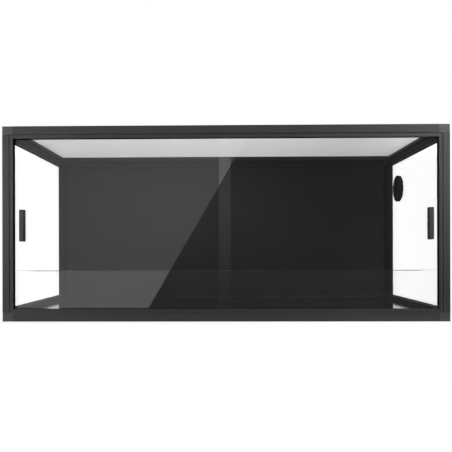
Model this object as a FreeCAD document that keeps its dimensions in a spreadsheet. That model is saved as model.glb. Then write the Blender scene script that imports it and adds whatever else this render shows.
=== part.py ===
"""Front-opening glass terrarium, built as a knock-down profile frame with its panels, doors and lid.

Millimetres. +X is to the viewer's right, the doors face -Y and +Z is up. The origin is on the ground,
under the middle of the frame.
"""
import FreeCAD, Part
import math
import os
import re

import Sketcher

# Driving dimensions. Each one is a cell of the sheet, under the name given here.
SIZES = {
    "width": 914,
    "depth": 457,
    "height": 401,
    # profile frame
    "section": 22,
    "post_lip": 6.6,
    "rail_band": 18.4,
    "rail_lip": 7,
    "wall": 2,
    "flange": 2,
    "groove_width": 1.6,
    "groove_depth": 1.3,
    "bottom_groove_depth": 0.4,
    "rail_bevel": 2.2,
    "cavity_lip_height": 5.3,
    "cavity_lip": 1,
    "cavity_mouth": 4.5,
    "cavity_ledge": 1,
    "rear_gap_start": 17,
    "rear_gap_width": 2,
    "rear_post_face": 13.5,
    "rear_post_ledge": 12,
    "spigot_length": 30,
    "spigot_clearance": 0.2,
    "block_chamfer": 0.5,
    "screw_radius": 1.45,
    "screw_head_radius": 2.6,
    "screw_head_height": 1.4,
    "screw_tip_gap": 1.4,
    "screw_clearance": 0.05,
    "screw_head_clearance": 0.2,
    # panels held in slots
    "pane_inset": 7.5,
    "glass_thickness": 5,
    "back_thickness": 4,
    "slot_depth": 5,
    "slot_clearance": 0.2,
    "pane_end_gap": 0.3,
    "base_underside": 10.5,
    "base_thickness": 4,
    "base_slot_depth": 5,
    # sliding doors
    "door_thickness": 4,
    "door_overlap": 24,
    "door_clearance": 0.2,
    "door_end_gap": 0.6,
    "door_head_gap": 1,
    "track_wall": 1.2,
    "track_floor": 2,
    "handle_width": 10.4,
    "handle_height": 65.6,
    "handle_depth": 12,
    "handle_inset": 13.3,
    "left_handle_drop": 3,
    "right_handle_drop": 1,
    "handle_fillet": 1.6,
    "pad_thickness": 1,
    "pad_margin": 1,
    # substrate guard
    "guard_height": 86,
    "guard_thickness": 3,
    "guard_arris": 0.3,
    "guard_clearance": 0.2,
    "guard_end_gap": 0.4,
    "holder_wall": 1,
    "holder_reach": 3.5,
    # screen lid
    "lid_rim": 2.4,
    "lid_recess": 10,
    "lid_flange": 2.8,
    "shadow_gap_depth": 6,
    "lid_clearance": 0.5,
    "lid_bar_width": 13,
    "lid_rear_width": 33,
    "lid_bar_height": 9.9,
    "lid_bar_wall": 1.5,
    "lid_key_length": 40,
    "lid_key_width": 5,
    "lid_key_height": 3.6,
    "lid_key_clearance": 0.2,
    "mesh_thickness": 0.6,
    "mesh_ledge": 0.8,
    "mesh_edge_gap": 0.3,
    "mesh_bar": 4,
    "spline_width": 2.8,
    "spline_height": 3,
    "spline_offset": 8.4,
    "spline_clearance": 0.2,
    # cable port in the right pane
    "port_from_rear": 102,
    "port_from_top": 95.5,
    "port_flange_radius": 34,
    "port_flange_thickness": 2.5,
    "port_bevel": 1.5,
    "port_barrel_radius": 26,
    "port_bore_radius": 22,
    "port_clearance": 0.3,
    "port_web": 1.6,
    "port_ring_thickness": 2.2,
    "port_ring_slope": 3,
    "port_cap_radius": 23,
    "port_cap_lip": 2,
    "port_cap_flange_radius": 25,
    "port_cap_flange_thickness": 0.7,
    "port_cap_rise": 2,
    "port_cap_crown": 9,
    "port_pivot_radius": 3,
    "port_pivot_fit": 0.05,
    "port_hole_radius": 6,
    "port_hole_offset": 13,
    "port_cap_turn": 120,
}

doc = FreeCAD.newDocument("terrarium")
sheet = doc.addObject("Spreadsheet::Sheet", "Sizes")
for row, (name, value) in enumerate(SIZES.items(), start=1):
    sheet.set(f"A{row}", name)
    sheet.set(f"B{row}", str(value))
    sheet.setAlias(f"B{row}", name)
doc.recompute()

nodes = []


def formula(text):
    """The same formula with each size written as a cell of the sheet."""
    return re.sub(r"[a-z_]{2,}", lambda m: f"Sizes.{m[0]}" if m[0] in SIZES else m[0], text)


def bind(thing, **formulas):
    """Bind properties of a feature to formulas in the sheet's sizes."""
    for path, text in formulas.items():
        thing.setExpression(path, formula(text))


def place(thing, x="0", y="0", z="0"):
    """Bind the place of a primitive."""
    for axis, text in zip("xyz", (x, y, z)):
        thing.setExpression(f"Placement.Base.{axis}", formula(text))


def node(thing, label):
    """Name a finished sub-part and put it on the list to be written."""
    thing.Label = label
    nodes.append(thing)
    return thing


def new_body(name):
    return doc.addObject("PartDesign::Body", name)


def sketch_on(body, role, name, offset="0"):
    """A sketch on one of the body's own origin planes, moved along that plane's normal."""
    sketch = body.newObject("Sketcher::SketchObject", name)
    plane = next(f for f in body.Origin.OriginFeatures if f.Role == role)
    sketch.AttachmentSupport = (plane, "")
    sketch.MapMode = "FlatFace"
    sketch.setExpression("AttachmentOffset.Base.z", formula(offset))
    return sketch


def outline(sketch, points):
    """Closed straight outline. Each corner is held from the sketch origin by two formulas."""
    first = sketch.GeometryCount
    count = len(points)
    ring = [2 * math.pi * i / count for i in range(count + 1)]
    seeds = [FreeCAD.Vector(math.cos(a), math.sin(a), 0) for a in ring]
    for start, end in zip(seeds, seeds[1:]):
        sketch.addGeometry(Part.LineSegment(start, end), False)
    for i in range(count):
        joint = Sketcher.Constraint("Coincident", first + i, 2, first + (i + 1) % count, 1)
        sketch.addConstraint(joint)
    for i, point in enumerate(points):
        for kind, text in zip(("DistanceX", "DistanceY"), point):
            index = sketch.addConstraint(Sketcher.Constraint(kind, -1, 1, first + i, 1, 1.0 + i))
            sketch.setExpression(f"Constraints[{index}]", formula(text))


def rectangle(sketch, x0, y0, x1, y1):
    outline(sketch, [(x0, y0), (x1, y0), (x1, y1), (x0, y1)])


def circle(sketch, x, y, radius):
    index = sketch.addGeometry(Part.Circle(FreeCAD.Vector(1, 1, 0), FreeCAD.Vector(0, 0, 1), 1), False)
    for kind, text in zip(("DistanceX", "DistanceY"), (x, y)):
        held = sketch.addConstraint(Sketcher.Constraint(kind, -1, 1, index, 3, 1.0))
        sketch.setExpression(f"Constraints[{held}]", formula(text))
    held = sketch.addConstraint(Sketcher.Constraint("Radius", index, 1.0))
    sketch.setExpression(f"Constraints[{held}]", formula(radius))


def pad(body, sketch, length, middle=False, reverse=False):
    feature = body.newObject("PartDesign::Pad", sketch.Name + "Pad")
    feature.Profile = sketch
    bind(feature, Length=length)
    feature.Midplane = middle
    feature.Reversed = reverse
    return feature


def pocket(body, sketch, length, reverse=False):
    feature = body.newObject("PartDesign::Pocket", sketch.Name + "Pocket")
    feature.Profile = sketch
    bind(feature, Length=length)
    feature.Reversed = reverse
    return feature


def revolve(body, sketch, axis):
    feature = body.newObject("PartDesign::Revolution", sketch.Name + "Revolution")
    feature.Profile = sketch
    feature.ReferenceAxis = (sketch, [axis])
    feature.Angle = 360
    return feature


def cut_cylinder(body, name, radius, height, x, y, z):
    """Upright round hole in a body, standing on the given point."""
    feature = body.newObject("PartDesign::SubtractiveCylinder", name)
    bind(feature, Radius=radius, Height=height)
    place(feature, x, y, z)
    return feature


# Places measured inwards from the outer faces of the frame. A side is -1 for left, front or
# bottom and +1 for right, rear or top.
LEFT, RIGHT, FRONT, REAR, BOTTOM, TOP = -1, 1, -1, 1, -1, 1


def in_x(side, inset):
    return f"{side} * (width / 2 - ({inset}))"


def in_y(side, inset):
    return f"{side} * (depth / 2 - ({inset}))"


def in_z(side, inset):
    return f"height - ({inset})" if side == TOP else f"{inset}"


SIDE_WORDS = {LEFT: "left", RIGHT: "right"}
END_WORDS = {FRONT: "front", REAR: "rear"}
LEVEL_WORDS = {BOTTOM: "bottom", TOP: "top"}

# Sizes that follow from the driving ones.
POST_BAND = "(section - post_lip)"
RAIL_HEIGHT = "(rail_band + rail_lip)"
CORE = f"({POST_BAND} - wall)"
SPIGOT_LOW = {BOTTOM: "wall", TOP: "lid_recess + wall"}
SPIGOT_HIGH = "rail_band - wall"
SLOT_FLOOR = f"({RAIL_HEIGHT} - slot_depth)"
CHANNEL = "(door_thickness + 2 * door_clearance)"
TRACK_STEPS = [
    "flange",
    "flange + track_wall",
    f"flange + track_wall + {CHANNEL}",
    f"flange + 2 * track_wall + {CHANNEL}",
    f"flange + 2 * track_wall + 2 * {CHANNEL}",
    f"flange + 3 * track_wall + 2 * {CHANNEL}",
]
SCREW_RUN = "(section + spigot_length / 2)"
SCREW_LINE = f"({POST_BAND} / 2)"
SCREW_LENGTH = f"({SPIGOT_HIGH} - lid_recess - spigot_clearance - screw_tip_gap)"


# The groove is shallower in the bottom rails than in the top ones.
GROOVE_FLOOR = {BOTTOM: "bottom_groove_depth", TOP: "groove_depth"}


def groove_notch(outer, inner, band):
    """Corners of the feature groove that runs along a face, from the band's end back into the band."""
    start = f"{band} - groove_width"
    return [(outer, band), (inner, band), (inner, start), (outer, start)]


def rail_outline(level, pane, rear=False):
    """Side and rear rail section: inset from the outer face, then from the bottom or top face. The top side
    rails have an undercut cavity beside the pane, the top rear rail a plain gap."""
    half_slot = f"({pane} / 2 + slot_clearance)"
    base_low = "base_underside - slot_clearance"
    base_high = "base_underside + base_thickness + slot_clearance"
    slot = [
        (f"pane_inset + {half_slot}", RAIL_HEIGHT),
        (f"pane_inset + {half_slot}", SLOT_FLOOR),
        (f"pane_inset - {half_slot}", SLOT_FLOOR),
        (f"pane_inset - {half_slot}", RAIL_HEIGHT),
    ]
    outside = [("0", RAIL_HEIGHT)] + groove_notch("0", GROOVE_FLOOR[level], "rail_band")
    if level == BOTTOM:
        inside = [
            ("0", "0"),
            ("section", "0"),
            ("section", base_low),
            ("section - base_slot_depth", base_low),
            ("section - base_slot_depth", base_high),
            ("section", base_high),
            ("section", "rail_band"),
            ("section - rail_bevel", "rail_band + rail_bevel"),
            ("section - rail_bevel", RAIL_HEIGHT),
        ]
    else:
        inside = [
            ("0", "0"),
            ("lid_rim", "0"),
            ("lid_rim", "lid_recess"),
            ("section", "lid_recess"),
        ]
        if rear:
            gap_end = "rear_gap_start + rear_gap_width"
            inside += [
                ("section", "rear_gap_start"),
                ("section - shadow_gap_depth", "rear_gap_start"),
                ("section - shadow_gap_depth", gap_end),
                ("section", gap_end),
                ("section", RAIL_HEIGHT),
            ]
        else:
            lip_end = "rail_band + cavity_lip_height"
            back = f"pane_inset + {half_slot} + wall"
            ledge = f"{RAIL_HEIGHT} - cavity_ledge"
            inside += [
                ("section", "lid_recess + lid_flange"),
                ("section - shadow_gap_depth", "lid_recess + lid_flange"),
                ("section - shadow_gap_depth", "rail_band"),
                ("section", "rail_band"),
                ("section", lip_end),
                ("section - cavity_lip", lip_end),
                ("section - cavity_lip", "rail_band + wall"),
                (back, "rail_band + wall"),
                (back, ledge),
                ("section - cavity_lip - cavity_mouth", ledge),
                ("section - cavity_lip - cavity_mouth", RAIL_HEIGHT),
            ]
    return inside + slot + outside


def front_rail_outline(level):
    """Front rail section: inset from the front face, then from the bottom or top face."""
    base_low = "base_underside - slot_clearance"
    base_high = "base_underside + base_thickness + slot_clearance"
    if level == BOTTOM:
        inside = [
            ("0", "0"),
            ("section", "0"),
            ("section", base_low),
            ("section - base_slot_depth", base_low),
            ("section - base_slot_depth", base_high),
            ("section", base_high),
            ("section", "rail_band"),
        ]
    else:
        inside = [
            ("0", "0"),
            ("lid_rim", "0"),
            ("lid_rim", "lid_recess"),
            ("section", "lid_recess"),
            ("section", "rail_band"),
        ]
    return inside + groove_notch("0", GROOVE_FLOOR[level], "rail_band")[1:]


def core_outline(level):
    """Hollow of a rail, which takes the corner blocks' spigots."""
    low, high = SPIGOT_LOW[level], SPIGOT_HIGH
    return [("wall", low), (CORE, low), (CORE, high), ("wall", high)]


def screw_holes(body, name, level, spots):
    """Holes for the screws through a rail's wall, at each of the given places."""
    for i, (x, y) in enumerate(spots):
        shank = "screw_radius + screw_clearance"
        head = "screw_head_radius + screw_head_clearance"
        low = "0" if level == BOTTOM else "height - lid_recess - wall"
        cut_cylinder(body, f"{name}ScrewHole{i}", shank, "wall", x, y, low)
        low = "0" if level == BOTTOM else "height - lid_recess - screw_head_height"
        cut_cylinder(body, f"{name}HeadRecess{i}", head, "screw_head_height", x, y, low)


def rail_along_x(end, level):
    label = f"rail_{LEVEL_WORDS[level]}_{END_WORDS[end]}"
    name = f"Rail{LEVEL_WORDS[level].title()}{END_WORDS[end].title()}"
    body = new_body(name)
    profile = sketch_on(body, "YZ_Plane", name + "Profile")
    if end == FRONT:
        section = front_rail_outline(level)
    else:
        section = rail_outline(level, "back_thickness", rear=True)
    for corners in (section, core_outline(level)):
        outline(profile, [(in_y(end, v), in_z(level, w)) for v, w in corners])
    pad(body, profile, "width - 2 * section", middle=True)
    if end == FRONT:
        lip = sketch_on(body, "XZ_Plane", name + "Lip", "depth / 2")
        corners = [(POST_BAND, "rail_band"), ("section", RAIL_HEIGHT)]
        left = [(in_x(LEFT, u), in_z(level, w)) for u, w in corners]
        right = [(in_x(RIGHT, u), in_z(level, w)) for u, w in corners]
        outline(lip, left + right[::-1])
        pad(body, lip, "flange", reverse=True)
    spots = [(in_x(side, SCREW_RUN), in_y(end, SCREW_LINE)) for side in (LEFT, RIGHT)]
    screw_holes(body, name, level, spots)
    return node(body, label)


def rail_along_y(side, level):
    label = f"rail_{LEVEL_WORDS[level]}_{SIDE_WORDS[side]}"
    name = f"Rail{LEVEL_WORDS[level].title()}{SIDE_WORDS[side].title()}"
    body = new_body(name)
    profile = sketch_on(body, "XZ_Plane", name + "Profile")
    for corners in (rail_outline(level, "glass_thickness"), core_outline(level)):
        outline(profile, [(in_x(side, u), in_z(level, w)) for u, w in corners])
    pad(body, profile, "depth - 2 * section", middle=True)
    spots = [(in_x(side, SCREW_LINE), in_y(end, SCREW_RUN)) for end in (FRONT, REAR)]
    screw_holes(body, name, level, spots)
    return node(body, label)


def post(side, end):
    """Upright profile. The front pair has a lip for the doors, the rear pair a slot for the back panel."""
    label = f"post_{END_WORDS[end]}_{SIDE_WORDS[side]}"
    name = f"Post{END_WORDS[end].title()}{SIDE_WORDS[side].title()}"
    body = new_body(name)
    profile = sketch_on(body, "XY_Plane", name + "Profile", "rail_band")
    half_glass = "(glass_thickness / 2 + slot_clearance)"
    half_back = "(back_thickness / 2 + slot_clearance)"
    pane_slot = [
        (f"pane_inset + {half_glass}", "section"),
        (f"pane_inset + {half_glass}", "section - slot_depth"),
        (f"pane_inset - {half_glass}", "section - slot_depth"),
        (f"pane_inset - {half_glass}", "section"),
    ]
    side_groove = groove_notch("0", "groove_depth", POST_BAND)
    face_groove = [(u, v) for v, u in side_groove[::-1]]
    if end == FRONT:
        corners = [("0", "0")] + face_groove[:3] + [(POST_BAND, "section")]
    else:
        corners = [("0", "0")] + face_groove + [
            ("section", "0"),
            ("section", f"pane_inset - {half_back}"),
            ("section - slot_depth", f"pane_inset - {half_back}"),
            ("section - slot_depth", f"pane_inset + {half_back}"),
            ("section", f"pane_inset + {half_back}"),
            ("section", "rear_post_ledge"),
            ("rear_post_face", "rear_post_ledge"),
            ("rear_post_face", "section"),
        ]
    corners += pane_slot + [("0", "section")] + side_groove
    outline(profile, [(in_x(side, u), in_y(end, v)) for u, v in corners])
    rectangle(profile, in_x(side, "wall"), in_y(end, "wall"), in_x(side, CORE), in_y(end, CORE))
    pad(body, profile, "height - 2 * rail_band")
    if end == FRONT:
        lip = sketch_on(body, "XZ_Plane", name + "Lip", "depth / 2")
        corners = [
            (POST_BAND, "rail_band"),
            ("section", RAIL_HEIGHT),
            ("section", f"height - {RAIL_HEIGHT}"),
            (POST_BAND, "height - rail_band"),
        ]
        outline(lip, [(in_x(side, u), w) for u, w in corners])
        pad(body, lip, "flange", reverse=True)
    return node(body, label)


def corner_block(side, end, level):
    """Block with three spigots, one for each profile that meets it."""
    label = f"corner_{LEVEL_WORDS[level]}_{END_WORDS[end]}_{SIDE_WORDS[side]}"
    name = f"Corner{LEVEL_WORDS[level].title()}{END_WORDS[end].title()}{SIDE_WORDS[side].title()}"
    body = new_body(name)
    plan = sketch_on(body, "XY_Plane", name + "Plan", in_z(level, "0"))
    rectangle(plan, in_x(side, "0"), in_y(end, "0"), in_x(side, "section"), in_y(end, "section"))
    block = pad(body, plan, "rail_band", reverse=level == TOP)
    doc.recompute()
    chamfer = body.newObject("PartDesign::Chamfer", name + "Edges")
    chamfer.Base = (block, [f"Edge{i + 1}" for i in range(len(block.Shape.Edges))])
    bind(chamfer, Size="block_chamfer")
    if level == TOP:
        seat = sketch_on(body, "XY_Plane", name + "LidSeat", "height")
        far = "section + wall"
        rectangle(seat, in_x(side, "lid_rim"), in_y(end, "lid_rim"), in_x(side, far), in_y(end, far))
        pocket(body, seat, "lid_recess")
    if end == FRONT:
        groove = sketch_on(body, "XZ_Plane", name + "Groove", "depth / 2")
        rectangle(
            groove,
            in_x(side, f"{POST_BAND} - groove_width"),
            in_z(level, "rail_band - groove_width"),
            in_x(side, "section"),
            in_z(level, "rail_band"),
        )
        pocket(body, groove, GROOVE_FLOOR[level])
    near, far = "wall + spigot_clearance", f"{CORE} - spigot_clearance"
    low, high = f"{SPIGOT_LOW[level]} + spigot_clearance", f"{SPIGOT_HIGH} - spigot_clearance"
    foot, tip = "section - wall", "section + spigot_length"
    floor = in_z(level, low)
    if level == TOP:
        floor = in_z(level, high)
    rise = f"({high}) - ({low})"
    for word, corners in (
        ("X", (in_x(side, foot), in_y(end, near), in_x(side, tip), in_y(end, far))),
        ("Y", (in_x(side, near), in_y(end, foot), in_x(side, far), in_y(end, tip))),
    ):
        arm = sketch_on(body, "XY_Plane", f"{name}Spigot{word}", floor)
        rectangle(arm, *corners)
        pad(body, arm, rise)
    arm = sketch_on(body, "XY_Plane", f"{name}SpigotZ", in_z(level, "rail_band - wall"))
    rectangle(arm, in_x(side, near), in_y(end, near), in_x(side, far), in_y(end, far))
    pad(body, arm, "wall + spigot_length", reverse=level == TOP)
    spots = [
        (in_x(side, SCREW_RUN), in_y(end, SCREW_LINE)),
        (in_x(side, SCREW_LINE), in_y(end, SCREW_RUN)),
    ]
    low = "0" if level == BOTTOM else f"height - lid_recess - {SCREW_LENGTH}"
    for i, (x, y) in enumerate(spots):
        cut_cylinder(body, f"{name}ScrewBore{i}", "screw_radius + screw_clearance", SCREW_LENGTH, x, y, low)
    return node(body, label)


def frame_screws():
    """All the flat-headed screws that hold the rails on the spigots, as one group."""
    screws = []
    for level in (BOTTOM, TOP):
        for side in (LEFT, RIGHT):
            for end in (FRONT, REAR):
                spots = [
                    (in_x(side, SCREW_RUN), in_y(end, SCREW_LINE)),
                    (in_x(side, SCREW_LINE), in_y(end, SCREW_RUN)),
                ]
                for x, y in spots:
                    screws.append(screw(f"Screw{len(screws)}", level, x, y))
    group = doc.addObject("Part::Compound", "FrameScrews")
    group.Links = screws
    return node(group, "frame_screws")


def screw(name, level, x, y):
    """One screw: a flat head flush with the rail's face, and a shank that bites into the spigot."""
    head = doc.addObject("Part::Cylinder", name + "Head")
    shank = doc.addObject("Part::Cylinder", name + "Shank")
    bind(head, Radius="screw_head_radius", Height="screw_head_height")
    bind(shank, Radius="screw_radius", Height=SCREW_LENGTH)
    if level == BOTTOM:
        place(head, x, y)
        place(shank, x, y)
    else:
        place(head, x, y, "height - lid_recess - screw_head_height")
        place(shank, x, y, f"height - lid_recess - {SCREW_LENGTH}")
    whole = doc.addObject("Part::Fuse", name)
    whole.Base = head
    whole.Tool = shank
    return whole


def side_glass(side):
    """Clear side pane in the slots of two posts and two rails. The right one has the cable port's hole."""
    word = SIDE_WORDS[side]
    body = new_body(f"Glass{word.title()}")
    pane = sketch_on(body, "YZ_Plane", f"Glass{word.title()}Pane", in_x(side, "pane_inset"))
    edge = "section - slot_depth + pane_end_gap"
    low = f"{SLOT_FLOOR} + pane_end_gap"
    rectangle(pane, in_y(FRONT, edge), low, in_y(REAR, edge), f"height - ({low})")
    if side == RIGHT:
        along, up = in_y(REAR, "port_from_rear"), in_z(TOP, "port_from_top")
        circle(pane, along, up, "port_barrel_radius + port_clearance")
    pad(body, pane, "glass_thickness", middle=True)
    return node(body, f"glass_{word}")


def back_panel():
    body = new_body("BackPanel")
    sheet_plan = sketch_on(body, "XZ_Plane", "BackPanelPlan", "-1 * (depth / 2 - pane_inset)")
    edge = "section - slot_depth + pane_end_gap"
    low = f"{SLOT_FLOOR} + pane_end_gap"
    rectangle(sheet_plan, in_x(LEFT, edge), low, in_x(RIGHT, edge), f"height - ({low})")
    pad(body, sheet_plan, "back_thickness", middle=True)
    return node(body, "back_panel")


def base_panel():
    """Base in the bottom rails' slots, notched round the corner blocks."""
    body = new_body("BasePanel")
    plan = sketch_on(body, "XY_Plane", "BasePanelPlan", "base_underside")
    edge = "section - base_slot_depth + pane_end_gap"
    notch = "section + pane_end_gap"
    corners = []
    for side, end in ((LEFT, FRONT), (RIGHT, FRONT), (RIGHT, REAR), (LEFT, REAR)):
        turn = [(edge, notch), (notch, notch), (notch, edge)]
        if side * end < 0:
            turn = turn[::-1]
        corners += [(in_x(side, u), in_y(end, v)) for u, v in turn]
    outline(plan, corners)
    pad(body, plan, "base_thickness")
    return node(body, "base_panel")


def channel_outline(back, mouth):
    """Twin-channel section: depth behind the front face, then from the channel's back to its mouth."""
    a = TRACK_STEPS
    bed = f"{back} + track_floor"
    return [
        (a[0], back),
        (a[5], back),
        (a[5], mouth),
        (a[4], mouth),
        (a[4], bed),
        (a[3], bed),
        (a[3], mouth),
        (a[2], mouth),
        (a[2], bed),
        (a[1], bed),
        (a[1], mouth),
        (a[0], mouth),
    ]


def door_track(level):
    label = {BOTTOM: "lower_door_track", TOP: "upper_door_track"}[level]
    name = label.title().replace("_", "")
    body = new_body(name)
    profile = sketch_on(body, "YZ_Plane", name + "Profile")
    corners = channel_outline("rail_band", RAIL_HEIGHT)
    outline(profile, [(in_y(FRONT, v), in_z(level, w)) for v, w in corners])
    pad(body, profile, "width - 2 * section", middle=True)
    return node(body, label)


def door_jamb(side):
    label = f"{SIDE_WORDS[side]}_door_jamb"
    name = label.title().replace("_", "")
    body = new_body(name)
    profile = sketch_on(body, "XY_Plane", name + "Profile", "rail_band")
    corners = channel_outline(POST_BAND, "section")
    outline(profile, [(in_x(side, u), in_y(FRONT, v)) for v, u in corners])
    pad(body, profile, "height - 2 * rail_band")
    return node(body, label)


# The right door runs in the front channel and the left door in the rear one.
DOOR_FACE = {
    LEFT: f"({TRACK_STEPS[3]} + door_clearance)",
    RIGHT: f"({TRACK_STEPS[1]} + door_clearance)",
}
DOOR_FOOT = "(rail_band + track_floor + door_clearance)"
DOOR_HEAD = "(height - rail_band - track_floor - door_head_gap)"
DOOR_MIDDLE = f"(({DOOR_FOOT} + {DOOR_HEAD}) / 2)"


def door_glass(side):
    label = f"{SIDE_WORDS[side]}_door_glass"
    name = label.title().replace("_", "")
    body = new_body(name)
    pane = sketch_on(body, "XZ_Plane", name + "Pane", f"depth / 2 - {DOOR_FACE[side]}")
    outer = in_x(side, f"{POST_BAND} + track_floor + door_end_gap")
    inner = f"{-side} * door_overlap / 2"
    rectangle(pane, outer, DOOR_FOOT, inner, DOOR_HEAD)
    pad(body, pane, "door_thickness", reverse=True)
    return node(body, label)


def handle_sketch(body, side, name, depth, margin):
    """Upright rectangle of the handle, or of the pad behind it, at a depth in front of the door's face."""
    face = sketch_on(body, "XZ_Plane", name, f"depth / 2 - {DOOR_FACE[side]} + {depth}")
    near = in_x(side, f"section + handle_inset + {margin}")
    far = in_x(side, f"section + handle_inset + handle_width - {margin}")
    middle = f"{DOOR_MIDDLE} - {SIDE_WORDS[side]}_handle_drop"
    half = f"(handle_height / 2 - {margin})"
    rectangle(face, near, f"{middle} - {half}", far, f"{middle} + {half}")
    return face


def door_handle(side):
    """Pull bar on the door's outer end, with rounded edges, and the adhesive pad that holds it."""
    word = SIDE_WORDS[side]
    name = f"{word.title()}Handle"
    body = new_body(name)
    bar = pad(body, handle_sketch(body, side, name + "Bar", "pad_thickness", "0"), "handle_depth")
    doc.recompute()
    glued = max(bar.Shape.Faces, key=lambda face: face.CenterOfMass.y)
    round_edges = [
        f"Edge{i + 1}"
        for i, edge in enumerate(bar.Shape.Edges)
        if not any(edge.isSame(other) for other in glued.Edges)
    ]
    fillet = body.newObject("PartDesign::Fillet", name + "Fillet")
    fillet.Base = (bar, round_edges)
    bind(fillet, Radius="handle_fillet")
    node(body, f"{word}_handle")
    body = new_body(name + "Pad")
    pad(body, handle_sketch(body, side, name + "PadFace", "0", "pad_margin"), "pad_thickness")
    return node(body, f"{word}_handle_pad")


GUARD_FACE = f"({TRACK_STEPS[5]} + guard_clearance + holder_wall)"
GUARD_SLOT = "(guard_thickness + 2 * guard_clearance)"


def guard_holder(side):
    """Short upright channel behind the jamb, which the end of the guard drops into."""
    word = SIDE_WORDS[side]
    name = f"GuardHolder{word.title()}"
    body = new_body(name)
    profile = sketch_on(body, "XY_Plane", name + "Profile", "rail_band")
    front, back = f"{GUARD_FACE} - holder_wall", f"{GUARD_FACE} + {GUARD_SLOT} + holder_wall"
    root, bed, mouth = POST_BAND, f"{POST_BAND} + holder_wall", f"{POST_BAND} + holder_reach"
    corners = [
        (root, front),
        (mouth, front),
        (mouth, GUARD_FACE),
        (bed, GUARD_FACE),
        (bed, f"{GUARD_FACE} + {GUARD_SLOT}"),
        (mouth, f"{GUARD_FACE} + {GUARD_SLOT}"),
        (mouth, back),
        (root, back),
    ]
    outline(profile, [(in_x(side, u), in_y(FRONT, v)) for u, v in corners])
    pad(body, profile, "guard_height")
    return node(body, f"guard_holder_{word}")


def substrate_guard():
    """Low clear plate behind the doors, with the arrises of its top edge taken off."""
    body = new_body("SubstrateGuard")
    pane = sketch_on(body, "XZ_Plane", "GuardPane", f"depth / 2 - {GUARD_FACE} - guard_clearance")
    end = f"{POST_BAND} + holder_wall + guard_end_gap"
    low = "rail_band + guard_clearance"
    rectangle(pane, in_x(LEFT, end), low, in_x(RIGHT, end), "rail_band + guard_height")
    plate = pad(body, pane, "guard_thickness", reverse=True)
    doc.recompute()
    top = max(plate.Shape.Faces, key=lambda face: face.CenterOfMass.z)
    long_edges = sorted(top.Edges, key=lambda edge: edge.Length)[2:]
    arris = body.newObject("PartDesign::Chamfer", "GuardArris")
    arris.Base = (plate, [
        f"Edge{i + 1}"
        for i, edge in enumerate(plate.Shape.Edges)
        if any(edge.isSame(other) for other in long_edges)
    ])
    bind(arris, Size="guard_arris")
    return node(body, "substrate_guard")


LID_EDGE = "(lid_rim + lid_clearance)"
LID_FLOOR = "(height - lid_recess)"
LID_TOP = f"({LID_FLOOR} + lid_bar_height)"
KEY_EDGE = f"({LID_EDGE} + lid_bar_wall)"
LID_INNER = {FRONT: f"({LID_EDGE} + lid_bar_width)", REAR: f"({LID_EDGE} + lid_rear_width)"}
SPLINE_EDGE = f"({LID_EDGE} + spline_offset)"
SPLINE_SLOT = "(spline_width + 2 * spline_clearance)"


def ring(sketch, near, far):
    """Two nested rectangles, at two insets from the frame's outer faces."""
    for inset in (near, far):
        rectangle(sketch, in_x(LEFT, inset), in_y(FRONT, inset), in_x(RIGHT, inset), in_y(REAR, inset))


def lid_bar(word, ends):
    """Mitred hollow bar of the lid frame, with the spline's groove and the ledge under the mesh."""
    name = f"LidBar{word.title()}"
    body = new_body(name)
    plan = sketch_on(body, "XY_Plane", name + "Plan", LID_FLOOR)
    inner = f"{LID_EDGE} + lid_bar_width"
    (side_a, end_a), (side_b, end_b) = ends
    corners = [
        (in_x(side_a, LID_EDGE), in_y(end_a, LID_EDGE)),
        (in_x(side_b, LID_EDGE), in_y(end_b, LID_EDGE)),
        (in_x(side_b, inner), in_y(end_b, LID_INNER[end_b])),
        (in_x(side_a, inner), in_y(end_a, LID_INNER[end_a])),
    ]
    outline(plan, corners)
    pad(body, plan, "lid_bar_height")
    hollow = sketch_on(body, "XY_Plane", name + "Hollow", f"{LID_FLOOR} + lid_bar_wall")
    ring(hollow, KEY_EDGE, f"{KEY_EDGE} + lid_key_width + 2 * lid_key_clearance")
    pocket(body, hollow, "lid_key_height + 2 * lid_key_clearance", reverse=True)
    groove = sketch_on(body, "XY_Plane", name + "SplineGroove", LID_TOP)
    ring(groove, SPLINE_EDGE, f"{SPLINE_EDGE} + {SPLINE_SLOT}")
    pocket(body, groove, "spline_height + mesh_ledge")
    ledge = sketch_on(body, "XY_Plane", name + "MeshLedge", LID_TOP)
    edge = f"{SPLINE_EDGE} + {SPLINE_SLOT} - spline_clearance"
    rectangle(ledge, in_x(LEFT, edge), in_y(FRONT, edge), in_x(RIGHT, edge), in_y(REAR, edge))
    pocket(body, ledge, "mesh_ledge")
    return node(body, f"lid_bar_{word}")


def lid_corner_keys():
    """The four L-shaped keys inside the lid bars, as one group."""
    keys = []
    for side in (LEFT, RIGHT):
        for end in (FRONT, REAR):
            name = f"LidKey{SIDE_WORDS[side].title()}{END_WORDS[end].title()}"
            key = new_body(name)
            foot = f"{LID_FLOOR} + lid_bar_wall + lid_key_clearance"
            plan = sketch_on(key, "XY_Plane", name + "Plan", foot)
            near = f"{KEY_EDGE} + lid_key_clearance"
            far = f"{near} + lid_key_width"
            tip = f"{KEY_EDGE} + lid_key_length"
            corners = [(near, near), (tip, near), (tip, far), (far, far), (far, tip), (near, tip)]
            outline(plan, [(in_x(side, u), in_y(end, v)) for u, v in corners])
            pad(key, plan, "lid_key_height")
            keys.append(key)
    group = doc.addObject("Part::Compound", "LidCornerKeys")
    group.Links = keys
    return node(group, "lid_corner_keys")


def lid_spline():
    """Rubber cord that closes the groove round the mesh."""
    body = new_body("LidSpline")
    plan = sketch_on(body, "XY_Plane", "LidSplinePlan", f"{LID_TOP} - spline_height - mesh_ledge")
    near = f"{SPLINE_EDGE} + spline_clearance"
    ring(plan, near, f"{near} + spline_width")
    pad(body, plan, "spline_height")
    return node(body, "lid_spline")


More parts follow.
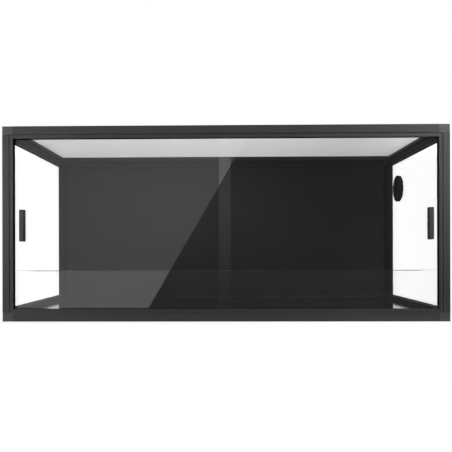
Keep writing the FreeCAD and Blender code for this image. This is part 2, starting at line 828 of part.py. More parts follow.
# Openings of the mesh from side to side and from front to rear.
MESH_ACROSS, MESH_DEEP = 12, 6


def screen_mesh():
    """Wire mesh of the lid, as a plain grid of openings that weighs about what the fine wire does."""
    body = new_body("ScreenMesh")
    edge = f"({SPLINE_EDGE} + {SPLINE_SLOT} + mesh_edge_gap)"
    floor = f"{LID_TOP} - mesh_ledge"
    left, front = in_x(LEFT, edge), in_y(FRONT, edge)
    plan = sketch_on(body, "XY_Plane", "ScreenMeshPlan", floor)
    rectangle(plan, left, front, in_x(RIGHT, edge), in_y(REAR, edge))
    pad(body, plan, "mesh_thickness")
    across = f"((width - 2 * {edge} - mesh_bar) / {MESH_ACROSS})"
    deep = f"((depth - 2 * {edge} - mesh_bar) / {MESH_DEEP})"
    opening = sketch_on(body, "XY_Plane", "MeshOpening", f"{floor} + mesh_thickness")
    rectangle(opening, f"{left} + mesh_bar", f"{front} + mesh_bar", f"{left} + {across}", f"{front} + {deep}")
    hole = pocket(body, opening, "mesh_thickness")
    grid = body.newObject("PartDesign::MultiTransform", "MeshGrid")
    grid.Originals = [hole]
    runs = []
    for name, axis, pitch, count in (
        ("MeshRunAcross", "H_Axis", across, MESH_ACROSS),
        ("MeshRunDeep", "V_Axis", deep, MESH_DEEP),
    ):
        run = body.newObject("PartDesign::LinearPattern", name)
        run.Direction = (opening, [axis])
        run.Occurrences = count
        bind(run, Length=f"{pitch} * {count - 1}")
        runs.append(run)
    grid.Transformations = runs
    body.Tip = grid
    return node(body, "screen_mesh")


# The cable port turns about an axis along X. Its pieces are revolved from sketches in the plane
# of that axis: distance from the pane's middle outwards, then radius.
PANE_IN = "-1 * glass_thickness / 2"
PANE_OUT = "glass_thickness / 2"


def port_body(name):
    """A body whose own X axis is the port's axis, with its origin in the middle of the right pane."""
    body = new_body(name)
    place(body, in_x(RIGHT, "pane_inset"), in_y(REAR, "port_from_rear"), in_z(TOP, "port_from_top"))
    return body


def port_profile(body, name, corners):
    sketch = sketch_on(body, "XY_Plane", name)
    outline(sketch, corners)
    return revolve(body, sketch, "H_Axis")


def port_hole(body, name, angle, start, length):
    """Round hole for a lead, off the axis of the port, at an angle about it."""
    hole = sketch_on(body, "YZ_Plane", name, start)
    x, y = (f"{turn}({angle} * 1 deg) * port_hole_offset" for turn in ("cos", "sin"))
    circle(hole, x, y, "port_hole_radius")
    return pocket(body, hole, length, reverse=True)


PORT_WEB_FACE = f"({PANE_OUT} + port_ring_thickness - port_cap_lip - port_clearance)"
PORT_CAP_BACK = f"({PANE_OUT} + port_ring_thickness - port_cap_lip)"
PORT_CAP_FACE = f"({PANE_OUT} + port_ring_thickness)"


def port_flange():
    """Inner flange, barrel through the pane, and the web with the fixed lead hole and the cap's pivot."""
    body = port_body("PortFlange")
    inner = f"{PANE_IN} - port_flange_thickness"
    web_back = f"{PORT_WEB_FACE} - port_web"
    port_profile(body, "PortFlangeProfile", [
        (inner, "port_bore_radius"),
        (inner, "port_flange_radius - port_bevel"),
        (f"{inner} + port_bevel", "port_flange_radius"),
        (PANE_IN, "port_flange_radius"),
        (PANE_IN, "port_barrel_radius"),
        (PORT_WEB_FACE, "port_barrel_radius"),
        (PORT_WEB_FACE, "port_pivot_radius"),
        (PORT_CAP_FACE, "port_pivot_radius"),
        (PORT_CAP_FACE, "0"),
        (web_back, "0"),
        (web_back, "port_bore_radius"),
    ])
    port_hole(body, "PortFixedHole", "0", web_back, "port_web")
    return node(body, "port_flange")


def port_ring():
    """Outer ring, whose rim laps over the cap's flange and keeps the cap in."""
    body = port_body("PortRing")
    rim_back = f"{PORT_CAP_BACK} + port_cap_flange_thickness + port_clearance"
    port_profile(body, "PortRingProfile", [
        (PANE_OUT, "port_barrel_radius + port_clearance"),
        (PANE_OUT, "port_flange_radius"),
        (PORT_CAP_FACE, "port_flange_radius - port_ring_slope"),
        (PORT_CAP_FACE, "port_cap_radius + port_clearance"),
        (rim_back, "port_cap_radius + port_clearance"),
        (rim_back, "port_barrel_radius + port_clearance"),
    ])
    return node(body, "port_ring")


def port_cap():
    """Domed cap on the pivot. Turned, its lead hole comes over the fixed one."""
    body = port_body("PortCap")
    crown = f"{PORT_CAP_FACE} + port_cap_rise"
    flange_face = f"{PORT_CAP_BACK} + port_cap_flange_thickness"
    port_profile(body, "PortCapProfile", [
        (PORT_CAP_BACK, "port_pivot_radius + port_pivot_fit"),
        (PORT_CAP_BACK, "port_cap_flange_radius"),
        (flange_face, "port_cap_flange_radius"),
        (flange_face, "port_cap_radius"),
        (PORT_CAP_FACE, "port_cap_radius"),
        (crown, "port_cap_crown"),
        (crown, "0"),
        (f"{PORT_CAP_FACE} + port_clearance", "0"),
        (f"{PORT_CAP_FACE} + port_clearance", "port_pivot_radius + port_pivot_fit"),
    ])
    port_hole(body, "PortCapHole", "-port_cap_turn", PORT_CAP_BACK, "port_cap_lip + port_cap_rise")
    return node(body, "port_cap")


def check_and_write():
    """Stop on any failed feature or bad solid, then write one file for each sub-part."""
    failed = [o.Name for o in doc.Objects if {"Invalid", "Error"} & set(o.State)]
    if failed:
        raise RuntimeError(f"failed features: {failed}")
    for thing in nodes:
        if thing.Shape.isNull() or not thing.Shape.isValid():
            raise RuntimeError(f"bad shape: {thing.Label}")
    os.makedirs("parts", exist_ok=True)
    for thing in nodes:
        thing.Shape.exportStep(f"parts/{thing.Label}.step")
        box = thing.Shape.BoundBox
        print(f"{thing.Label}: {len(thing.Shape.Solids)} solid(s), {thing.Shape.Volume / 1000:.2f} cm3, "
              f"x {box.XMin:.1f} {box.XMax:.1f}, y {box.YMin:.1f} {box.YMax:.1f}, "
              f"z {box.ZMin:.1f} {box.ZMax:.1f}")


for level in (BOTTOM, TOP):
    for end in (FRONT, REAR):
        rail_along_x(end, level)
    for side in (LEFT, RIGHT):
        rail_along_y(side, level)
        for end in (FRONT, REAR):
            corner_block(side, end, level)
    door_track(level)
for side in (LEFT, RIGHT):
    for end in (FRONT, REAR):
        post(side, end)
    side_glass(side)
    door_jamb(side)
    door_glass(side)
    door_handle(side)
    guard_holder(side)
frame_screws()
back_panel()
base_panel()
substrate_guard()
lid_bar("front", ((LEFT, FRONT), (RIGHT, FRONT)))
lid_bar("rear", ((LEFT, REAR), (RIGHT, REAR)))
lid_bar("left", ((LEFT, FRONT), (LEFT, REAR)))
lid_bar("right", ((RIGHT, FRONT), (RIGHT, REAR)))
lid_corner_keys()
lid_spline()
screen_mesh()
port_flange()
port_ring()
port_cap()
doc.recompute()
check_and_write()
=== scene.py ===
"""Glass terrarium: the finish of each piece, the lid's wire mesh, the studio and the camera."""

import math

import bpy
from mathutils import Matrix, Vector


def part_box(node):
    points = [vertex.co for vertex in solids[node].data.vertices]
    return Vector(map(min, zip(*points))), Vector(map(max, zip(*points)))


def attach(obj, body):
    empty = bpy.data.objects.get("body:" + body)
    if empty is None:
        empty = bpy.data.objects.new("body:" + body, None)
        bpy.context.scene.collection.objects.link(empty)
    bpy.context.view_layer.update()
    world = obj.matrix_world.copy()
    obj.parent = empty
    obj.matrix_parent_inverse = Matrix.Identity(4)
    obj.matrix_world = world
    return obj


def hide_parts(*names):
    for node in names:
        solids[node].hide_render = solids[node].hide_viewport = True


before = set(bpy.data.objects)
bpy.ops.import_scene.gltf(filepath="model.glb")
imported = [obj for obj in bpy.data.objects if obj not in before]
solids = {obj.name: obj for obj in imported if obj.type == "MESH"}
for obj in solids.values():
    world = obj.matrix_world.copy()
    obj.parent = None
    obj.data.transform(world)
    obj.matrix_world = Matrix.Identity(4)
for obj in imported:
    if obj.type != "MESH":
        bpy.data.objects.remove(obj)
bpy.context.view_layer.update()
scene = bpy.context.scene

MM = 0.001
PER_MM = 1000.0
COATING_IOR = 1.5
PLASTIC_IOR = 1.53
GLASS_IOR = 1.52

# The pale diffuse layer on the glass is thickest 75 mm left of the middle and 246 mm up. It thins
# out over 330 mm sideways, and 1.7 times as fast up and down. It is partly a haze and partly
# painted light: its pale spot stands in for a soft glow on the back seen through the glass.
HAZE_AND_GLOW_SHIFT = (0.075, 0.0, -0.418)
HAZE_AND_GLOW_SCALE = (1.0, 0.0, 1.7)
HAZE_AND_GLOW_REACH = 0.33

# The bevel along the guard's top edge, and how far it leans back.
ARRIS_HEIGHT = 1.5 * MM
ARRIS_LEAN = math.radians(40.0)

# How squarely a face looks along a pane's facing to count as a broad face, and as the front one.
BROAD_FACE = 0.9
FRONT_FACE = -0.5

# The lines that a die leaves are drawn a hundred times as long as they are wide.
LINE_STRETCH = 0.01


def linear(code):
    """An sRGB hex colour as the linear values that the sockets take."""
    channels = [int(code[i : i + 2], 16) / 255 for i in (1, 3, 5)]
    lit = [c / 12.92 if c <= 0.04045 else ((c + 0.055) / 1.055) ** 2.4 for c in channels]
    return (*lit, 1.0)


def add(tree, kind, sockets=None, **settings):
    """Adds a node with its settings. A socket takes a value, or another node's output to link."""
    made = tree.nodes.new("ShaderNode" + kind)
    for name, value in settings.items():
        setattr(made, name, value)
    for name, value in (sockets or {}).items():
        if isinstance(value, bpy.types.NodeSocket):
            tree.links.new(value, made.inputs[name])
        else:
            made.inputs[name].default_value = value
    return made


def new_finish(name):
    """An empty material, its node tree, and the piece's own coordinates in metres."""
    finish = bpy.data.materials.new(name)
    finish.use_nodes = True
    tree = finish.node_tree
    tree.nodes.clear()
    return finish, tree, add(tree, "TexCoord")


def opaque(finish, tree, tones, cloud, roughness, patches, bump, ior, shine):
    """Ends an opaque finish: its tone drifts with the cloud and its roughness with the patches.
    bump is its relief, with how strongly it shows and how deep it is."""
    relief, strength, depth = bump
    colour = add(
        tree,
        "MixRGB",
        {"Fac": cloud, "Color1": linear(tones[0]), "Color2": linear(tones[1])},
    )
    gloss = add(
        tree,
        "MapRange",
        {"Value": patches, "To Min": roughness[0], "To Max": roughness[1]},
    )
    raised = add(tree, "Bump", {"Height": relief, "Strength": strength, "Distance": depth})
    shader = add(
        tree,
        "BsdfPrincipled",
        {
            "Base Color": colour.outputs["Color"],
            "Roughness": gloss.outputs["Result"],
            "IOR": ior,
            "Specular IOR Level": shine,
            "Normal": raised.outputs["Normal"],
        },
    )
    add(tree, "OutputMaterial", {"Surface": shader.outputs["BSDF"]})
    return finish


def powder_coated(name, tones, roughness, shine):
    """Aluminium profile under baked powder coat: satin, with an orange-peel ripple and a slight
    drift of tone. The real ripple is about 1 mm, too fine to show, so it is drawn 3 mm wide."""
    finish, tree, place = new_finish(name)
    at = place.outputs["Object"]
    ripple = add(tree, "TexNoise", {"Vector": at, "Scale": PER_MM / 3.0, "Detail": 2.0})
    cloud = add(tree, "TexNoise", {"Vector": at, "Scale": PER_MM / 70.0, "Detail": 3.0})
    peel = ripple.outputs["Fac"]
    bump = (peel, 0.12, 0.15 * MM)
    drift = cloud.outputs["Fac"]
    return opaque(finish, tree, tones, drift, roughness, peel, bump, COATING_IOR, shine)


def moulded(name, tones, roughness, shine, grain, strength):
    """Black plastic from a spark-eroded mould: an even, fine pebble that breaks up the shine. The
    grain is in millimetres and is drawn coarser than the real 0.2 mm so that it shows."""
    finish, tree, place = new_finish(name)
    at = place.outputs["Object"]
    pebble = add(
        tree,
        "TexVoronoi",
        {"Vector": at, "Scale": PER_MM / grain},
        feature="SMOOTH_F1",
    )
    cloud = add(tree, "TexNoise", {"Vector": at, "Scale": PER_MM / 18.0, "Detail": 2.0})
    bump = (pebble.outputs["Distance"], strength, 0.1 * MM)
    drift = cloud.outputs["Fac"]
    return opaque(finish, tree, tones, drift, roughness, drift, bump, PLASTIC_IOR, shine)


def extruded(name, tones, roughness, shine, run):
    """Rigid PVC or rubber pulled through a die: smooth along its run, with fine lines side by side
    across it. The real lines are too fine to show, so they are drawn 2 mm apart."""
    finish, tree, place = new_finish(name)
    stretch = tuple(LINE_STRETCH if i == run else 1.0 for i in range(3))
    lines_at = add(tree, "Mapping", {"Vector": place.outputs["Object"], "Scale": stretch})
    lines = add(
        tree,
        "TexNoise",
        {"Vector": lines_at.outputs["Vector"], "Scale": PER_MM / 2.0, "Detail": 2.0},
    )
    drawn = lines.outputs["Fac"]
    bump = (drawn, 0.15, 0.05 * MM)
    return opaque(finish, tree, tones, drawn, roughness, drawn, bump, PLASTIC_IOR, shine)


def sheet(name, tones, roughness, shine, texture, strength):
    """Pressed plastic board: a broad cloud of gloss and tone, and a faint surface texture, which is
    given in millimetres."""
    finish, tree, place = new_finish(name)
    at = place.outputs["Object"]
    press = add(tree, "TexNoise", {"Vector": at, "Scale": PER_MM / texture, "Detail": 3.0})
    cloud = add(tree, "TexNoise", {"Vector": at, "Scale": PER_MM / 160.0, "Detail": 2.0})
    bump = (press.outputs["Fac"], strength, 0.1 * MM)
    drift = cloud.outputs["Fac"]
    return opaque(finish, tree, tones, drift, roughness, drift, bump, PLASTIC_IOR, shine)


def float_glass(name, facing, edge_tones, haze_and_glow=None, arris_from=None):
    """Clear float glass with ground edges: the broad faces let almost everything through and mirror
    a few percent, blurred here and there by handling, in patches 60 mm across. facing is the way
    the broad faces look. haze_and_glow is how pale a diffuse layer is at its thickest and at its
    thinnest: partly a haze, and partly painted light whose pale spot stands in for a soft glow on
    the back. It makes the overlap of two panes paler. Above the height arris_from the front
    face is a ground and polished bevel, which bends the view down."""
    finish, tree, place = new_finish(name)
    at = place.outputs["Object"]
    handled = add(tree, "TexNoise", {"Vector": at, "Scale": PER_MM / 60.0, "Detail": 3.0})
    patches = handled.outputs["Fac"]
    blur = add(tree, "MapRange", {"Value": patches, "To Min": 0.0, "To Max": 0.006})
    tint = add(
        tree,
        "MixRGB",
        {"Fac": patches, "Color1": linear("#fdfdfd"), "Color2": linear("#fcfcfc")},
    ).outputs["Color"]
    inside = add(tree, "NewGeometry").outputs["Backfacing"]
    bend = add(
        tree,
        "Math",
        {0: inside, 1: 1 / GLASS_IOR - GLASS_IOR, 2: GLASS_IOR},
        operation="MULTIPLY_ADD",
    )
    mirrored = add(tree, "Fresnel", {"IOR": bend.outputs["Value"]})
    along = add(
        tree,
        "VectorMath",
        {0: place.outputs["Normal"], 1: facing},
        operation="DOT_PRODUCT",
    ).outputs["Value"]
    clear = add(tree, "BsdfTransparent", {"Color": tint}).outputs["BSDF"]
    if arris_from is not None:
        height = add(tree, "SeparateXYZ", {"Vector": at}).outputs["Z"]
        high = add(tree, "Math", {0: height, 1: arris_from}, operation="GREATER_THAN")
        front = add(tree, "Math", {0: along, 1: FRONT_FACE}, operation="LESS_THAN")
        on_arris = add(
            tree,
            "Math",
            {0: high.outputs["Value"], 1: front.outputs["Value"]},
            operation="MULTIPLY",
        )
        lean = add(
            tree,
            "CombineXYZ",
            {"Y": -math.cos(ARRIS_LEAN), "Z": math.sin(ARRIS_LEAN)},
        )
        bevel = add(
            tree,
            "BsdfRefraction",
            {
                "Color": tint,
                "IOR": GLASS_IOR,
                "Roughness": 0.0,
                "Normal": lean.outputs["Vector"],
            },
        )
        bent = add(
            tree,
            "MixShader",
            {"Fac": on_arris.outputs["Value"], 1: clear, 2: bevel.outputs["BSDF"]},
        )
        clear = bent.outputs["Shader"]
    mirror = add(
        tree,
        "BsdfGlossy",
        {"Color": mirrored.outputs["Fac"], "Roughness": blur.outputs["Result"]},
    )
    face = add(tree, "AddShader", {0: clear, 1: mirror.outputs["BSDF"]}).outputs["Shader"]
    # Pale diffuse layer: partly haze, partly a painted glow of light on the back seen through the
    # pane.
    if haze_and_glow is not None:
        from_middle = add(
            tree,
            "Mapping",
            {"Vector": at, "Location": HAZE_AND_GLOW_SHIFT, "Scale": HAZE_AND_GLOW_SCALE},
        )
        reach = add(tree, "VectorMath", {0: from_middle.outputs["Vector"]}, operation="LENGTH")
        haze_and_glow_level = add(
            tree,
            "MapRange",
            {
                "Value": reach.outputs["Value"],
                "From Max": HAZE_AND_GLOW_REACH,
                "To Min": haze_and_glow[0],
                "To Max": haze_and_glow[1],
            },
            interpolation_type="SMOOTHSTEP",
        )
        pale = add(tree, "BsdfDiffuse", {"Color": haze_and_glow_level.outputs["Result"]})
        face = add(tree, "AddShader", {0: face, 1: pale.outputs["BSDF"]}).outputs["Shader"]
    ground = add(tree, "TexNoise", {"Vector": at, "Scale": PER_MM / 4.0, "Detail": 2.0})
    green = add(
        tree,
        "MixRGB",
        {
            "Fac": ground.outputs["Fac"],
            "Color1": linear(edge_tones[0]),
            "Color2": linear(edge_tones[1]),
        },
    )
    edge = add(
        tree,
        "BsdfPrincipled",
        {
            "Base Color": green.outputs["Color"],
            "Roughness": 0.4,
            "IOR": GLASS_IOR,
            "Specular IOR Level": 0.15,
        },
    )
    square_on = add(tree, "Math", {0: along}, operation="ABSOLUTE").outputs["Value"]
    is_edge = add(tree, "Math", {0: square_on, 1: BROAD_FACE}, operation="LESS_THAN")
    pane = add(
        tree,
        "MixShader",
        {"Fac": is_edge.outputs["Value"], 1: face, 2: edge.outputs["BSDF"]},
    )
    add(tree, "OutputMaterial", {"Surface": pane.outputs["Shader"]})
    return finish


def bare_metal(name, tones, roughness, patch, detail):
    """Metal without paint, streaked or worn in patches of the given size in millimetres."""
    finish, tree, place = new_finish(name)
    at = place.outputs["Object"]
    worn = add(tree, "TexNoise", {"Vector": at, "Scale": PER_MM / patch, "Detail": detail})
    patches = worn.outputs["Fac"]
    colour = add(
        tree,
        "MixRGB",
        {"Fac": patches, "Color1": linear(tones[0]), "Color2": linear(tones[1])},
    )
    gloss = add(
        tree,
        "MapRange",
        {"Value": patches, "To Min": roughness[0], "To Max": roughness[1]},
    )
    shader = add(
        tree,
        "BsdfPrincipled",
        {
            "Base Color": colour.outputs["Color"],
            "Metallic": 1.0,
            "Roughness": gloss.outputs["Result"],
        },
    )
    add(tree, "OutputMaterial", {"Surface": shader.outputs["BSDF"]})
    return finish


def dress(finish, *names):
    """Gives the named CAD nodes a finish."""
    for name in names:
        piece = solids[name]
        if not piece.material_slots:
            piece.data.materials.append(None)
        for slot in piece.material_slots:
            slot.link = "OBJECT"
            slot.material = finish


def named(pattern, *words):
    """The names of nodes that differ by one word."""
    return [pattern.format(word) for word in words]


LEVELS = ("bottom", "top")
ENDS = ("front", "rear")
SIDES = ("left", "right")
CORNERS = [f"corner_{level}_{end}_{side}" for level in LEVELS for end in ENDS for side in SIDES]
ALONG_X, ALONG_Y, ALONG_Z = range(3)

# The profiles are all coated alike. Those inside the frame get darker tones and duller gloss as
# painted shade, standing in for their being out of the light.
front_coat = powder_coated(
    "powder_coated_aluminium", ("#363637", "#3b3b3c"), roughness=(0.56, 0.66), shine=0.25
)
dress(front_coat, *named("rail_{}_front", *LEVELS), *named("post_front_{}", *SIDES))
inner_coat_painted_shade = powder_coated(
    "powder_coated_inner_profile_painted_shade", ("#1b1b1c", "#1f1f20"), roughness=(0.7, 0.8), shine=0.03
)
dress(inner_coat_painted_shade, *named("rail_{}_rear", *LEVELS), *named("rail_bottom_{}", *SIDES))
# A darker tone again: painted shade on the top side rails.
side_coat_painted_shade = powder_coated(
    "powder_coated_top_side_rail_painted_shade", ("#151516", "#19191a"), roughness=(0.7, 0.8), shine=0.03
)
dress(side_coat_painted_shade, *named("rail_top_{}", *SIDES))
# The darkest tone: painted shade on the rear posts.
rear_coat_painted_shade = powder_coated(
    "powder_coated_rear_post_painted_shade", ("#101011", "#131314"), roughness=(0.7, 0.8), shine=0.03
)
dress(rear_coat_painted_shade, *named("post_rear_{}", *SIDES))
lid_coat = powder_coated(
    "powder_coated_lid_bar", ("#242425", "#29292a"), roughness=(0.56, 0.66), shine=0.15
)
dress(lid_coat, *named("lid_bar_{}", *ENDS, *SIDES))

corner_abs = moulded(
    "moulded_abs_corner",
    ("#414142", "#474748"),
    roughness=(0.55, 0.65),
    shine=0.3,
    grain=1.2,
    strength=0.1,
)
dress(corner_abs, *CORNERS)
port_abs = moulded(
    "moulded_abs_port",
    ("#070708", "#0a0a0b"),
    roughness=(0.45, 0.55),
    shine=0.05,
    grain=1.0,
    strength=0.06,
)
dress(port_abs, "port_flange", "port_ring", "port_cap")
handle_abs = moulded(
    "moulded_abs_handle",
    ("#3e3e3f", "#434344"),
    roughness=(0.55, 0.65),
    shine=0.12,
    grain=1.0,
    strength=0.06,
)
dress(handle_abs, *named("{}_handle", *SIDES))
key_nylon = moulded(
    "moulded_nylon_key",
    ("#202021", "#262627"),
    roughness=(0.45, 0.55),
    shine=0.5,
    grain=1.0,
    strength=0.06,
)
dress(key_nylon, "lid_corner_keys")

# The tracks and jambs are black PVC, but their near-black tone, darker than PVC really is, is also
# painted shade for the deep door channels.
track_black_and_shade_tones = ("#030303", "#060606")
track_pvc_and_shade = extruded(
    "extruded_pvc_track_and_painted_shade", track_black_and_shade_tones, roughness=(0.64, 0.76), shine=0.04, run=ALONG_X
)
dress(track_pvc_and_shade, *named("{}_door_track", "lower", "upper"))
upright_pvc_and_shade = extruded(
    "extruded_pvc_upright_and_painted_shade", track_black_and_shade_tones, roughness=(0.64, 0.76), shine=0.04, run=ALONG_Z
)
dress(upright_pvc_and_shade, *named("{}_door_jamb", *SIDES), *named("guard_holder_{}", *SIDES))
spline_rubber = extruded(
    "extruded_rubber_spline",
    ("#1d1d1d", "#232323"),
    roughness=(0.69, 0.81),
    shine=0.3,
    run=ALONG_X,
)
dress(spline_rubber, "lid_spline")

back_pvc = sheet(
    "matt_pvc_board",
    ("#0f0f10", "#121213"),
    roughness=(0.5, 0.6),
    shine=0.12,
    texture=2.5,
    strength=0.03,
)
dress(back_pvc, "back_panel")
base_pvc = sheet(
    "gloss_pvc_sheet",
    ("#0d0d0e", "#101011"),
    roughness=(0.08, 0.14),
    shine=0.4,
    texture=12.0,
    strength=0.01,
)
dress(base_pvc, "base_panel")
# Foam tape is close-celled, so its texture is small and deep.
pad_foam = sheet(
    "foam_tape",
    ("#1b1b1b", "#202020"),
    roughness=(0.85, 0.95),
    shine=0.3,
    texture=0.8,
    strength=0.3,
)
dress(pad_foam, *named("{}_handle_pad", *SIDES))

# The side panes' edges sit in the frame's slots; their green is painted far darker than the doors'
# edges, as painted shade from the slots.
side_pane = float_glass("float_glass_side_pane", (1, 0, 0), ("#0a0e0d", "#101614"))
dress(side_pane, *named("glass_{}", *SIDES))
# The doors and the guard carry the pale layer, partly haze and partly a painted glow.
door_pane = float_glass(
    "float_glass_door", (0, 1, 0), ("#1d2926", "#2b3b36"), haze_and_glow=(0.0128, 0.0046)
)
dress(door_pane, *named("{}_door_glass", *SIDES))
guard_pane = float_glass(
    "float_glass_guard",
    (0, 1, 0),
    ("#090d0c", "#0e1412"),
    haze_and_glow=(0.005, 0.0022),
    arris_from=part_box("substrate_guard")[1].z - ARRIS_HEIGHT,
)
dress(guard_pane, "substrate_guard")

# Steel screws with a black oxide skin: dark metal with small worn patches.
screw_steel = bare_metal(
    "black_oxide_steel", ("#26272a", "#4a4b4e"), roughness=(0.3, 0.5), patch=1.5, detail=3.0
)
dress(screw_steel, "frame_screws")
# Aluminium wire, drawn and woven: bright, slightly streaked metal, with the gloss of a bare wire.
wire_aluminium = bare_metal(
    "drawn_aluminium_wire", ("#d2d2d3", "#e4e4e5"), roughness=(0.35, 0.55), patch=5.0, detail=2.0
)

WIRE_PITCH = 2.0 * MM
WIRE_SIDES = 6
WIRE_CHAMFER = 0.4


def wire_run(name, middle, length, width, run, radius):
    """One wire along the run, its cut ends chamfered, copied side by side across the width."""
    turned = (0, math.pi / 2, 0) if run == ALONG_X else (math.pi / 2, 0, 0)
    across = ALONG_Y if run == ALONG_X else ALONG_X
    count = int(width / WIRE_PITCH)
    start = list(middle)
    start[across] -= (count - 1) * WIRE_PITCH / 2
    bpy.ops.object.select_all(action="DESELECT")
    bpy.ops.mesh.primitive_cylinder_add(
        vertices=WIRE_SIDES, radius=radius, depth=length, location=start, rotation=turned
    )
    wires = bpy.context.object
    wires.name = wires.data.name = name
    bpy.ops.object.transform_apply(location=True, rotation=True, scale=True)
    bpy.ops.object.mode_set(mode="EDIT")
    bpy.ops.mesh.select_all(action="DESELECT")
    bpy.ops.mesh.select_face_by_sides(number=WIRE_SIDES, type="EQUAL")
    bpy.ops.mesh.bevel(offset=WIRE_CHAMFER * radius, segments=1, affect="EDGES")
    bpy.ops.object.mode_set(mode="OBJECT")
    array = wires.modifiers.new("side_by_side", "ARRAY")
    array.count = count
    array.use_relative_offset = False
    array.use_constant_offset = True
    array.constant_offset_displace = tuple(WIRE_PITCH if i == across else 0.0 for i in range(3))
    bpy.ops.object.modifier_apply(modifier=array.name)
    return wires


def wire_mesh():
    """The lid's mesh: wires from front to rear laid on wires from side to side, in the thickness of
    the sheet."""
    low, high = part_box("screen_mesh")
    radius = (high.z - low.z) / 4
    middle = (low + high) / 2
    size = high - low
    lower = (middle.x, middle.y, low.z + radius)
    upper = (middle.x, middle.y, high.z - radius)
    long_wires = wire_run("mesh_long", lower, size.x, size.y, ALONG_X, radius)
    short_wires = wire_run("mesh_short", upper, size.y, size.x, ALONG_Y, radius)
    bpy.ops.object.select_all(action="DESELECT")
    short_wires.select_set(True)
    long_wires.select_set(True)
    bpy.context.view_layer.objects.active = long_wires
    bpy.ops.object.join()
    long_wires.name = long_wires.data.name = "woven_screen"
    long_wires.data.materials.clear()
    long_wires.data.materials.append(wire_aluminium)
    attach(long_wires, "screen_lid")
    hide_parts("screen_mesh")


wire_mesh()

# The studio: a white room to the eye, dim behind the camera, and a pale table under the terrarium.
AMBIENT = 0.1
DIM_SIDE = 0.03
DIM_FADE = (-0.5, 0.0)
TABLE_MIDDLE = 0.625
TABLE_DROP = 0.2 * MM
TABLE_SPAN = (3.2, 1.79, 1)
# The shadow round the terrarium is twice as wide as it is deep, and fades to white over this reach.
FOOTPRINT = (1.0, 2.0, 1.0)
SHADOW_REACH = (0.5, 1.0)
SHADOW_WHITE = 0.82


def white_room():
    """White to the camera, and in glass and gloss, where it fades to dim behind the camera. It
    lights the terrarium only faintly."""
    world = bpy.data.worlds.new("white_room")
    scene.world = world
    world.use_nodes = True
    tree = world.node_tree
    tree.nodes.clear()
    path = add(tree, "LightPath")
    toward = add(tree, "SeparateXYZ", {"Vector": add(tree, "TexCoord").outputs["Generated"]})
    fade = add(
        tree,
        "MapRange",
        {
            "Value": toward.outputs["Y"],
            "From Min": DIM_FADE[0],
            "From Max": DIM_FADE[1],
            "To Min": DIM_SIDE,
            "To Max": 1.0,
        },
    )
    shown = add(
        tree,
        "Math",
        {0: path.outputs["Is Glossy Ray"], 1: path.outputs["Is Transmission Ray"]},
        operation="MAXIMUM",
    )
    mirrored = add(
        tree,
        "MapRange",
        {
            "Value": shown.outputs["Value"],
            "To Min": AMBIENT,
            "To Max": fade.outputs["Result"],
        },
    )
    strength = add(
        tree,
        "Math",
        {0: mirrored.outputs["Result"], 1: path.outputs["Is Camera Ray"]},
        operation="MAXIMUM",
    )
    light = add(
        tree,
        "Background",
        {"Color": linear("#ffffff"), "Strength": strength.outputs["Value"]},
    )
    add(tree, "OutputWorld", {"Surface": light.outputs["Background"]})


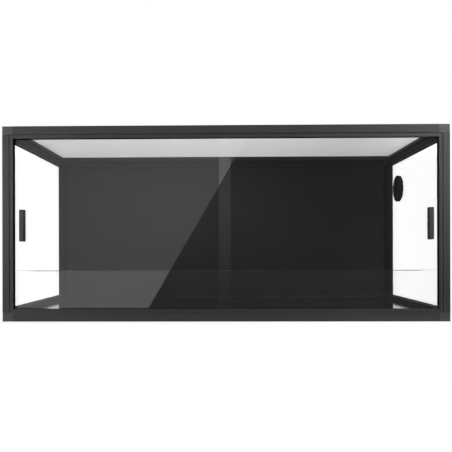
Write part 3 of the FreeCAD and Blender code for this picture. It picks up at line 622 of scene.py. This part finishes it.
def pale_table():
    """A pale table that ends just in front of the terrarium. It keeps a soft shadow round the
    terrarium, and reads as plain white further out."""
    bpy.ops.object.select_all(action="DESELECT")
    bpy.ops.mesh.primitive_plane_add(size=1.0, location=(0, TABLE_MIDDLE, -TABLE_DROP))
    table = bpy.context.object
    table.name = "table_top"
    table.scale = TABLE_SPAN
    bpy.ops.object.transform_apply(location=True, rotation=True, scale=True)
    finish, tree, place = new_finish("white_laminate_table")
    at = place.outputs["Object"]
    cloud = add(tree, "TexNoise", {"Vector": at, "Scale": PER_MM / 300.0})
    colour = add(
        tree,
        "MixRGB",
        {
            "Fac": cloud.outputs["Fac"],
            "Color1": linear("#e8e8e8"),
            "Color2": linear("#ececec"),
        },
    )
    matt = add(tree, "BsdfDiffuse", {"Color": colour.outputs["Color"]})
    white = add(tree, "Emission", {"Color": linear("#ffffff"), "Strength": 1.0})
    path = add(tree, "LightPath")
    seen = path.outputs["Is Camera Ray"]
    for kind in ("Is Glossy Ray", "Is Transmission Ray"):
        either = add(tree, "Math", {0: seen, 1: path.outputs[kind]}, operation="MAXIMUM")
        seen = either.outputs["Value"]
    footprint = add(tree, "Mapping", {"Vector": at, "Scale": FOOTPRINT})
    reach = add(tree, "VectorMath", {0: footprint.outputs["Vector"]}, operation="LENGTH")
    fade = add(
        tree,
        "MapRange",
        {
            "Value": reach.outputs["Value"],
            "From Min": SHADOW_REACH[0],
            "From Max": SHADOW_REACH[1],
            "To Min": SHADOW_WHITE,
            "To Max": 1.0,
        },
    )
    share = add(tree, "Math", {0: seen, 1: fade.outputs["Result"]}, operation="MULTIPLY")
    both_ways = add(
        tree,
        "MixShader",
        {"Fac": share.outputs["Value"], 1: matt.outputs["BSDF"], 2: white.outputs["Emission"]},
    )
    add(tree, "OutputMaterial", {"Surface": both_ways.outputs["Shader"]})
    table.data.materials.append(finish)


def lamp(name, place, turn, size, fan, power):
    """A softbox. Its grid lets the light fan out by the given angle in degrees."""
    light = bpy.data.lights.new(name, "AREA")
    light.shape = "RECTANGLE"
    light.size, light.size_y = size
    light.spread = math.radians(fan)
    light.energy = power
    holder = bpy.data.objects.new(name, light)
    holder.location = place
    holder.rotation_euler = [math.radians(angle) for angle in turn]
    scene.collection.objects.link(holder)
    holder.visible_camera = False


white_room()
pale_table()
# The leaning card's mirror image in the doors is the broad diagonal glare.
lamp("leaning_card", (-1.112, -2.6, 0.869), (90, 30.2, 0), size=(2.2, 3.2), fan=180, power=9.2)
lamp("broad_left", (-0.95, -0.55, 0.3), (80.4, 0, -57.3), size=(0.25, 0.4), fan=50, power=0.66)
lamp("broad_right", (0.95, -0.55, 0.5), (66.3, 0, 57.2), size=(0.25, 0.4), fan=50, power=0.72)
lamp("near_right", (0.6, -0.42, 0.68), (39.7, 0, 40.1), size=(0.2, 0.2), fan=120, power=0.42)
lamp("brow", (0.0, -0.5, 0.68), (43.1, 0, 0), size=(1.1, 0.1), fan=40, power=0.36)
lamp("overhead", (-0.15, 0.35, 1.7), (0, 0, 0), size=(1.2, 1.2), fan=180, power=22.0)

view = bpy.data.cameras.new("photo_view")
view.sensor_width = 36.0
view.lens = 49.87
view.shift_x = 0.0246
view.shift_y = 0.0577
stand = bpy.data.objects.new("photo_view", view)
stand.location = (1.3 * MM, -1506.3 * MM, 141.8 * MM)
stand.rotation_euler = (math.radians(90.0), math.radians(0.135), math.radians(0.983))
scene.collection.objects.link(stand)
scene.camera = stand
scene.view_settings.view_transform = "Standard"
